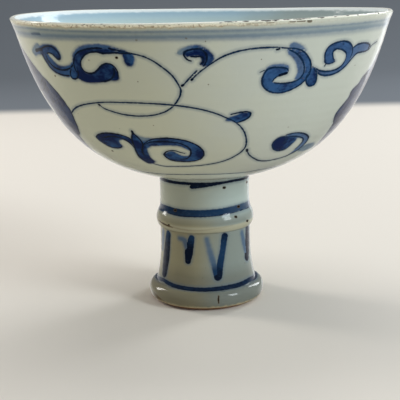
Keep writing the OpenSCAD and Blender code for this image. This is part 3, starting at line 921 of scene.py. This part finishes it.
leaf_washes = {
    "hook_neck": (0.82, [
        (38, 51), (42, 55.5), (45.3, 61), (49, 67), (54, 71.8), (60, 75.4), (66, 77), (71.5, 76.5),
        (73.5, 70), (73.5, 62), (71, 64.5), (67, 66.6), (61, 66.2), (56, 63.3), (51.5, 58.5),
        (48, 54.5)]),
    "hook_head": (0.88, [
        (34.5, 53), (37, 48.5), (41, 45.6), (46, 44.6), (51, 45), (56, 48), (60, 53), (61.5, 58.5),
        (59, 60.3), (55.5, 58), (52, 54.6), (48, 53.5), (43, 54.5), (38, 54.5)]),
    "hook_tip": (0.35, [(32.5, 52), (34, 47), (39, 45), (41, 50), (38, 55), (34.5, 55)]),
    "loop": (0.95, [(71.3, 70)] + leaf_edges["loop"][1:]),
    "curl_cloud": (0.62, [
        (72.5, 57), (75.5, 50.5), (80, 47), (86, 45.2), (92, 44.3), (98, 44.3), (104, 45.2), (110, 46.5),
        (118, 49), (126, 51.8), (124, 52.4), (112, 50), (102, 48.8), (90, 49.2), (80, 52), (75.5, 56)]),
    "curl": (1.12, [
        (73, 57), (75.5, 53.5), (80, 51), (90, 48.6), (102, 48.4), (112, 49.6), (124, 52.4), (131, 54.2),
        (124, 54.6), (112, 54), (103, 53.8)] + leaf_edges["curl_middle"][5:20] + [
        (118.3, 74), (119.3, 79.5), (116.5, 81.2), (111.5, 80.8), (104, 82.3), (95, 83.2), (88, 82.8),
        (82, 80.8), (78, 78.5), (75, 73), (72.8, 66)]),
    "drop": (0.94, [
        (122.5, 54.3), (128, 54), (133, 55), (134.5, 59), (133.7, 64), (131, 66.8), (127.5, 66.6),
        (124.8, 63.5), (123.5, 58.5)]),
    "crook": (1.12, leaf_edges["crook"][3:] + [
        (200.3, 64.5), (201, 60), (199.5, 57), (191, 56.8), (187.5, 57.5)]),
    "crook_cloud": (0.85, [
        (188, 49.5), (192, 46.6), (196, 45.6), (201, 46.2), (206, 48.5), (210, 51.7), (213, 55.5),
        (214.2, 59.5), (211.5, 63), (207, 66.3), (203.5, 67), (206.5, 60), (205.5, 53.5), (200, 49.3),
        (194, 49.3)]),
    "crook_tail": (0.32, [
        (177, 53.5), (180.5, 50), (186, 47.3), (192, 46), (193, 50), (186, 51.5), (183, 55)]),
    "whorl": (0.86, leaf_edges["whorl"][7:] + [
        (275, 82.6), (282, 83.1), (292, 82.1), (299.5, 78.4), (303.5, 73.5)]),
    "whorl_crest": (0.58, [
        (263, 74), (266, 68.5), (271, 65.2), (278, 63.8), (285, 63.9), (288.8, 66), (288.6, 69.5),
        (285, 67.6), (279, 67), (272, 67.3), (267.5, 69.3)]),
    "whorl_cap": (0.5, [
        (289.5, 46.5), (291, 43.4), (295, 41.8), (299.5, 43.2), (304, 46.5), (306, 50.5), (301, 49),
        (295, 47.8)]),
    "whorl_strip": (0.6, [
        (288, 48.5), (294, 51.5), (299.5, 56.5), (303, 62), (304, 68), (302.5, 74.5), (299, 78.5),
        (294.5, 79.5), (297, 74), (297.5, 68), (295.5, 61.5), (291.5, 56), (288, 52.5)]),
    "whorl_side": (0.82, [
        (292, 48), (300, 49.3), (306.5, 54), (310, 60), (311, 67), (309, 73.5), (305.5, 79), (301.5, 79),
        (304, 73), (305, 67), (303.5, 61), (299.5, 55.5), (294, 51)]),
    "whorl_tail": (0.88, leaf_edges["whorl_tail"]),
    "link": (0.66, [
        (312.5, 66), (316, 71), (321, 75), (327, 76), (334, 74.2), (341, 70), (347, 64.5), (351, 58.5),
        (346, 58), (343.5, 62.5), (339, 67), (332, 70), (325, 70.7), (319, 69.5)]),
    "claw": (0.78, leaf_edges["claw"][3:] + [(347, 61)] + leaf_edges["claw_inside"][::-1] + [(329, 63.2)]),
    "claw_tail": (0.62, [
        (351.5, 57), (356, 53), (361, 51), (366, 50.3), (370, 47.5)] + leaf_edges["claw_tail"][4::-1]),
    "bud": (0.88, [
        (225.5, 120.3), (228, 118), (232, 116.3), (237, 114.6), (241, 113), (246, 112), (250.5, 112.5),
        (251, 114.5), (249, 117.5), (245.5, 119.8), (241, 121.5), (236.5, 122.6), (231, 121.4)]),
    "beak": (1.05, leaf_edges["beak"][6::-1] + [
        (133, 145), (128.5, 141.8), (122, 139.6), (119.3, 140.5), (120.5, 143.5), (122.8, 146),
        (120.5, 148), (114, 148), (109, 146.5), (104, 143.8), (99, 140.2)]),
    "thorn": (1.1, [
        (132.5, 133), (137.5, 137), (141.5, 141), (146, 142), (150, 140.5), (146.5, 145.5), (147, 149),
        (149, 154), (152, 158.5), (155.3, 161.2), (153.5, 163.5), (149, 163.5), (143.5, 160.8),
        (139, 157), (136, 152), (134, 147), (131.8, 140)]),
    "thorn_cloud": (0.35, [
        (134, 133.5), (139, 136), (146, 138), (153, 138.5), (146, 142), (141, 140.5), (137, 137)]),
    "snail": (0.82, [(144, 143.5)] + leaf_edges["snail"][2:9] + [
        (196, 149), (191, 151), (187, 149.5), (179, 146.4), (170, 145.6), (160, 145.8), (152, 146),
        (147, 148)]),
    "snail_body": (1.0, [(190, 143)] + leaf_edges["snail"][8:14] + [
        (188, 161.5), (187, 158.5), (190.5, 155.5), (191.5, 151)]),
    "snail_curl": (0.87, [
        (164.5, 154.5), (168, 152), (173, 151.5), (177, 153.3), (183, 155.8), (188, 156), (190.5, 154.5),
        (193, 158), (190, 161), (180, 161.5), (171, 160), (166, 157.5)]),
    "leaf": (1.08, [
        (271.8, 145.5), (273, 142), (276.5, 138.5), (281.5, 136.2), (287, 135.8), (293, 136.4),
        (296.5, 139), (293, 143), (289, 146.7), (285, 149.6), (280, 151), (275, 150.4), (272.4, 148)]),
    "tendril": (0.58, [(287, 135.4)] + leaf_edges["tendril"][17:7:-1] + [
        (295, 149.5), (299.5, 145), (302.5, 141.5), (302, 138.7), (298, 137.6), (293, 137.6)]),
    "tendril_cloud": (0.38, [
        (297, 150.5), (300, 147.5), (305, 145), (310, 143.5), (314, 143.2), (312, 147), (306, 149.8),
        (300, 151)])}
blots = {
    "hook_tip": ([(36.2, 51), (39, 50), (42, 49.6)], 1.3),
    "curl_end": ([(101.5, 53.6), (104, 53.7)], 0.9), "whorl_start": ([(276.8, 49.2), (279.6, 48.5)], 0.8),
    "whorl_barb": ([(260, 72.3), (264.5, 70)], 0.4), "whorl_lip": ([(279, 75.3), (286.5, 72.8)], 1.1),
    "claw_barb": ([(324.5, 66), (326, 63)], 0.5), "tail_end": ([(368.8, 47.5), (370, 44.5)], 1.2),
    "tail_hair": ([(371, 45.5), (374, 43), (377.5, 40.5)], 0.35),
    "thorn_tip": ([(132, 131.3), (133.3, 134.3)], 1.1),
    "tendril_start": ([(247, 149.4), (247.1, 151.4)], 1.0),
    "tendril_thick": ([(286, 156), (293, 152.6), (299, 149.2)], 0.9),
    "stem_start": ([(98.4, 104.3), (99.8, 105.4)], 0.9),
    "fork_start": ([(181.8, 86.2), (183.4, 85.2)], 1.0), "fork_end": ([(191.6, 80), (193, 78.8)], 0.9)}
bowl_pits = [
    (116.7, 58, 0.55, 2.2), (55.3, 76.2, 0.3, 1.6), (136.6, 40.6, 0.25, 0.9), (186.2, 38.8, 0.25, 0.9),
    (89, 60.5, 0.3, 0.7), (112.5, 151, 0.35, 1.8)]
lip_flaws = [
    ((247.8, 22.5), (250.2, 22.6), 1.1), ((252.5, 22.4), (262, 21.6), 0.5),
    ((268, 21.2), (273.5, 20.8), 0.9), ((291, 20.1), (295, 20.4), 0.8), ((298, 20.2), (305, 20), 0.45),
    ((309, 19.8), (311, 20.3), 1.0)]
blossom_middle = (-math.pi / 2, 50.0)
blossom_radius = 62
blossom_near_edge = [
    (28.5, 58), (33, 64.5), (38, 71), (43, 77), (48, 82), (54, 89), (58, 93.5), (62, 98.5), (66, 104),
    (70, 110), (72, 113), (74, 119), (77, 125), (79.5, 133), (79, 135.5)]
blossom_far_edge = [
    (371, 67), (366, 73), (361, 79), (358, 85), (354, 87.5), (352, 90), (350.5, 93), (349, 97),
    (345, 102), (340, 108), (336, 113), (334, 118), (333.5, 123), (330, 128.5)]
blossom_rounds = ((9, 0.56, 1.0, 0.0, 1.0), (7, 0.22, 0.5, 0.5, 0.8), (1, 0.0, 0.15, 0.0, 1.0))


def blossom_petals(edge):
    """A blossom's petals as (turn, way along) outlines: so many a round, between shares of its reach."""
    across, up = ((edge - blossom_middle) * [blossom_radius, 1]).T
    leans, reaches = np.arctan2(across, up), np.hypot(across, up)
    for number, inner, outer, skew, width in blossom_rounds:
        for k in range(number):
            half = math.pi / number
            share = np.linspace(-1, 1, 13 if number > 1 else 25)
            lean = (2 * k + skew) * half + share * half * width
            reach = np.interp(lean, *(a[np.argsort(leans)] for a in (leans, reaches)), period=2 * math.pi)
            tip = reach * outer * (1 - 0.5 * (1 - width) * share**2)
            back = reach[::-1] * max(inner, 0.02)
            rim = np.stack([tip * np.sin(lean), tip * np.cos(lean)], 1)
            if number > 1:
                root = np.stack([back * np.sin(lean[::-1]), back * np.cos(lean[::-1])], 1)
                rim = np.vstack([rim, root[2:-2:4]])
            yield rim / [blossom_radius, 1] + blossom_middle


outer_runs = half_section("bowl_outer_glaze")
outer_face = pared(outer_runs[0], outer_step)
outer_rest = []
for run in outer_runs[1:]:
    high = np.nonzero(run[:, 1] > outer_back_lip_height)[0]
    if 2 < len(high) < len(run):
        downwards = high[0] == 0
        cut = high[-1] if downwards else high[0]
        steps = (outer_back_lip_step, outer_back_step)[::1 if downwards else -1]
        outer_rest += [pared(run[:cut + 1], steps[0]), pared(run[cut:], steps[1])]
    else:
        outer_rest.append(pared(run, outer_back_step))
outer_coat = turned("bowl_outer_glaze", [outer_face] + outer_rest, outer_columns, 0)
brush = Brush(outer_face, 2, bowl_shift)
brush.band(lip_ring, lower_lip_ring, 0.23)
brush.ring(lip_ring, [0.9, 0.7, 1.0, 0.8, 0.9], [0.28, 0.34, 0.34, 0.3, 0.24, 0.2, 0.26])
brush.ring(lower_lip_ring, [2.0, 2.3, 2.0, 2.3, 2.0], [0.24, 0.3, 0.3, 0.27, 0.2, 0.18, 0.22])
brush.mark(lip_overlap, [1.4, 2.3, 1.6], 0.5)
brush.ring(well_ring, [0.5, 0.6, 0.45, 0.5], 0.8)
for spots in stems.values():
    brush.mark(spots, [0.7, 0.52, 0.7, 0.6, 0.7, 0.52], 0.82)
for spots in leaf_edges.values():
    tone = np.interp(spots[0][0], edge_tones_from_to, edge_tones)
    brush.mark(spots, [0.55, 0.8, 0.65, 0.8, 0.55], tone)
for tone, spots in leaf_washes.values():
    brush.wash(brush.at(spots), tone)
for spots, width in blots.values():
    brush.mark(spots, [width], 1.0)
for x, y, width, tone in bowl_pits:
    brush.mark([(x - 0.3, y), (x + 0.3, y)], [width], tone, stain=True)
for start, end, width in lip_flaws:
    brush.mark([start, end], [width, width * 0.6], 2.6, stain=True)
blossom_edge = np.vstack([brush.at(blossom_near_edge), brush.at(blossom_far_edge)[::-1] - [math.pi, 0]])
brush.clear(blossom_edge)
for petal in blossom_petals(blossom_edge):
    # The blossoms' grey is a painted reflection of the glaze's sheen where the bowl turns away.
    brush.wash(petal, tone=0.88, grey=0.7)
    brush.stroke(np.vstack([petal, petal[:1]]), [0.6], 0.95)
brush.lay(outer_coat)


def outer_lip_wear(glaze):
    """The glaze thins towards the lip, and is stained buff there on the side that stood in the flame."""
    where = glaze.carried("thrown")
    ragged = where.part(2) + (glaze.noise(4, 4) - 0.5) * 0.0016 + (glaze.noise(0.8, 3) - 0.5) * 0.001
    flamed = where.part(0).rise(0.045, -0.01) * where.part(0).rise(-0.074, -0.064)
    buff = glaze.blend(ragged.rise(0.1163, 0.1169), tint(196, 178, 140), tint(252, 246, 222))
    return ragged.rise(0.1158, 0.1167) * (flamed * 0.8 + 0.12), buff


def green_with_painted_light(glaze):
    """Painted light: yellower and lighter on the left, cooler on the right, as the light falls."""
    return from_side_to_side(glaze, (204, 206, 183), (196, 201, 190), -0.05, 0.05)


outer_finish = painted_glaze("painted_bowl_glaze", green_with_painted_light, outer_lip_wear, 0.75)
set_down(outer_coat, "bowl_outer_glaze", outer_finish)


# The table. A pale cloth under the cup, which runs on to a plain grey wall far behind it. Both are one
# sheet that bends up from the table to the wall.
cloth_ends, cloth_blur = 0.59, 0.03
table_front, table_back, table_half = -1.6, 0.9, 2.2
bend_round, wall_top = 0.5, 2.4
sheet = bmesh.new()
bend = [(table_back + bend_round * math.sin(a), bend_round * (1 - math.cos(a)))
        for a in np.linspace(0.1, math.pi / 2, 24)]
side = [(table_front, 0), (table_back, 0)] + bend + [(table_back + bend_round, wall_top)]
edge = [sheet.verts.new((-table_half, y, z)) for y, z in side]
for a, b in zip(edge, edge[1:]):
    sheet.edges.new((a, b))
swept = bmesh.ops.extrude_edge_only(sheet, edges=sheet.edges[:])["geom"]
across = [v for v in swept if isinstance(v, bmesh.types.BMVert)]
bmesh.ops.translate(sheet, verts=across, vec=(2 * table_half, 0, 0))
bmesh.ops.recalc_face_normals(sheet, faces=sheet.faces[:])
table = bpy.data.objects.new("table", bpy.data.meshes.new("table"))
sheet.to_mesh(table.data)
sheet.free()
table.data.shade_smooth()
bpy.context.scene.collection.objects.link(table)
cloth = Recipe("cloth_and_wall")
far = cloth.place().part(1).rise(cloth_ends - cloth_blur, cloth_ends + cloth_blur)
table.data.materials.append(cloth.done({
    "Base Color": cloth.blend(far, tint(225, 218, 208), tint(114, 119, 125)),
    "Roughness": 0.9,
    "Specular IOR Level": 0.1}))
table.visible_glossy = False


# The light. A window to the right and in front, two narrow ones behind, a pale ceiling and the room's own
# grey light. The room's light also stands for the pale cloth that shines in the cup's glaze.
lamp_aim = Vector((0, 0, 0.07))


def lamp(name, place, width, height, power, colour):
    """A soft lamp of so many metres and watts that shines on the cup."""
    light = bpy.data.lights.new(name, "AREA")
    light.shape, light.size, light.size_y = "RECTANGLE", width, height
    light.energy, light.color = power, colour
    holder = bpy.data.objects.new(name, light)
    facing = (lamp_aim - Vector(place)).to_track_quat("-Z", "Y").to_matrix().to_4x4()
    holder.matrix_world = Matrix.Translation(place) @ facing
    bpy.context.scene.collection.objects.link(holder)


lamp("window", (0.95, -0.6, 0.6), 0.36, 0.5, 8.3, (0.87, 0.95, 1.0))
lamp("right_back_window", (0.75, 0.75, 0.55), 0.28, 0.55, 5.0, (0.93, 0.97, 1.0))
lamp("left_back_window", (-0.85, 0.45, 0.45), 0.22, 0.5, 4.5, (1.0, 0.97, 0.92))
lamp("ceiling", (0.0, 0.45, 1.2), 0.8, 0.8, 5.5, (1.0, 1.0, 1.0))
room = Recipe("room", "worlds", "Background")
way = room.place("Generated")
aside, back, up = (way.part(k) for k in range(3))
cloth_behind = back.rise(0.2, 0.75) * up.rise(0.04, -0.06) * up.rise(-0.55, -0.3)
lit_cloth = cloth_behind * aside.rise(0.33, 0.41) * aside.rise(0.55, 0.47) * up.rise(-0.27, -0.22)
shaded = room.blend(up.rise(0.05, -0.05), (0.3, 0.31, 0.32, 1), (0.16, 0.16, 0.16, 1))
glow = room.blend(cloth_behind, shaded, (0.85, 0.83, 0.8, 1))
bpy.context.scene.world = room.done({"Color": room.blend(lit_cloth, glow, (1.7, 1.72, 1.75, 1))})
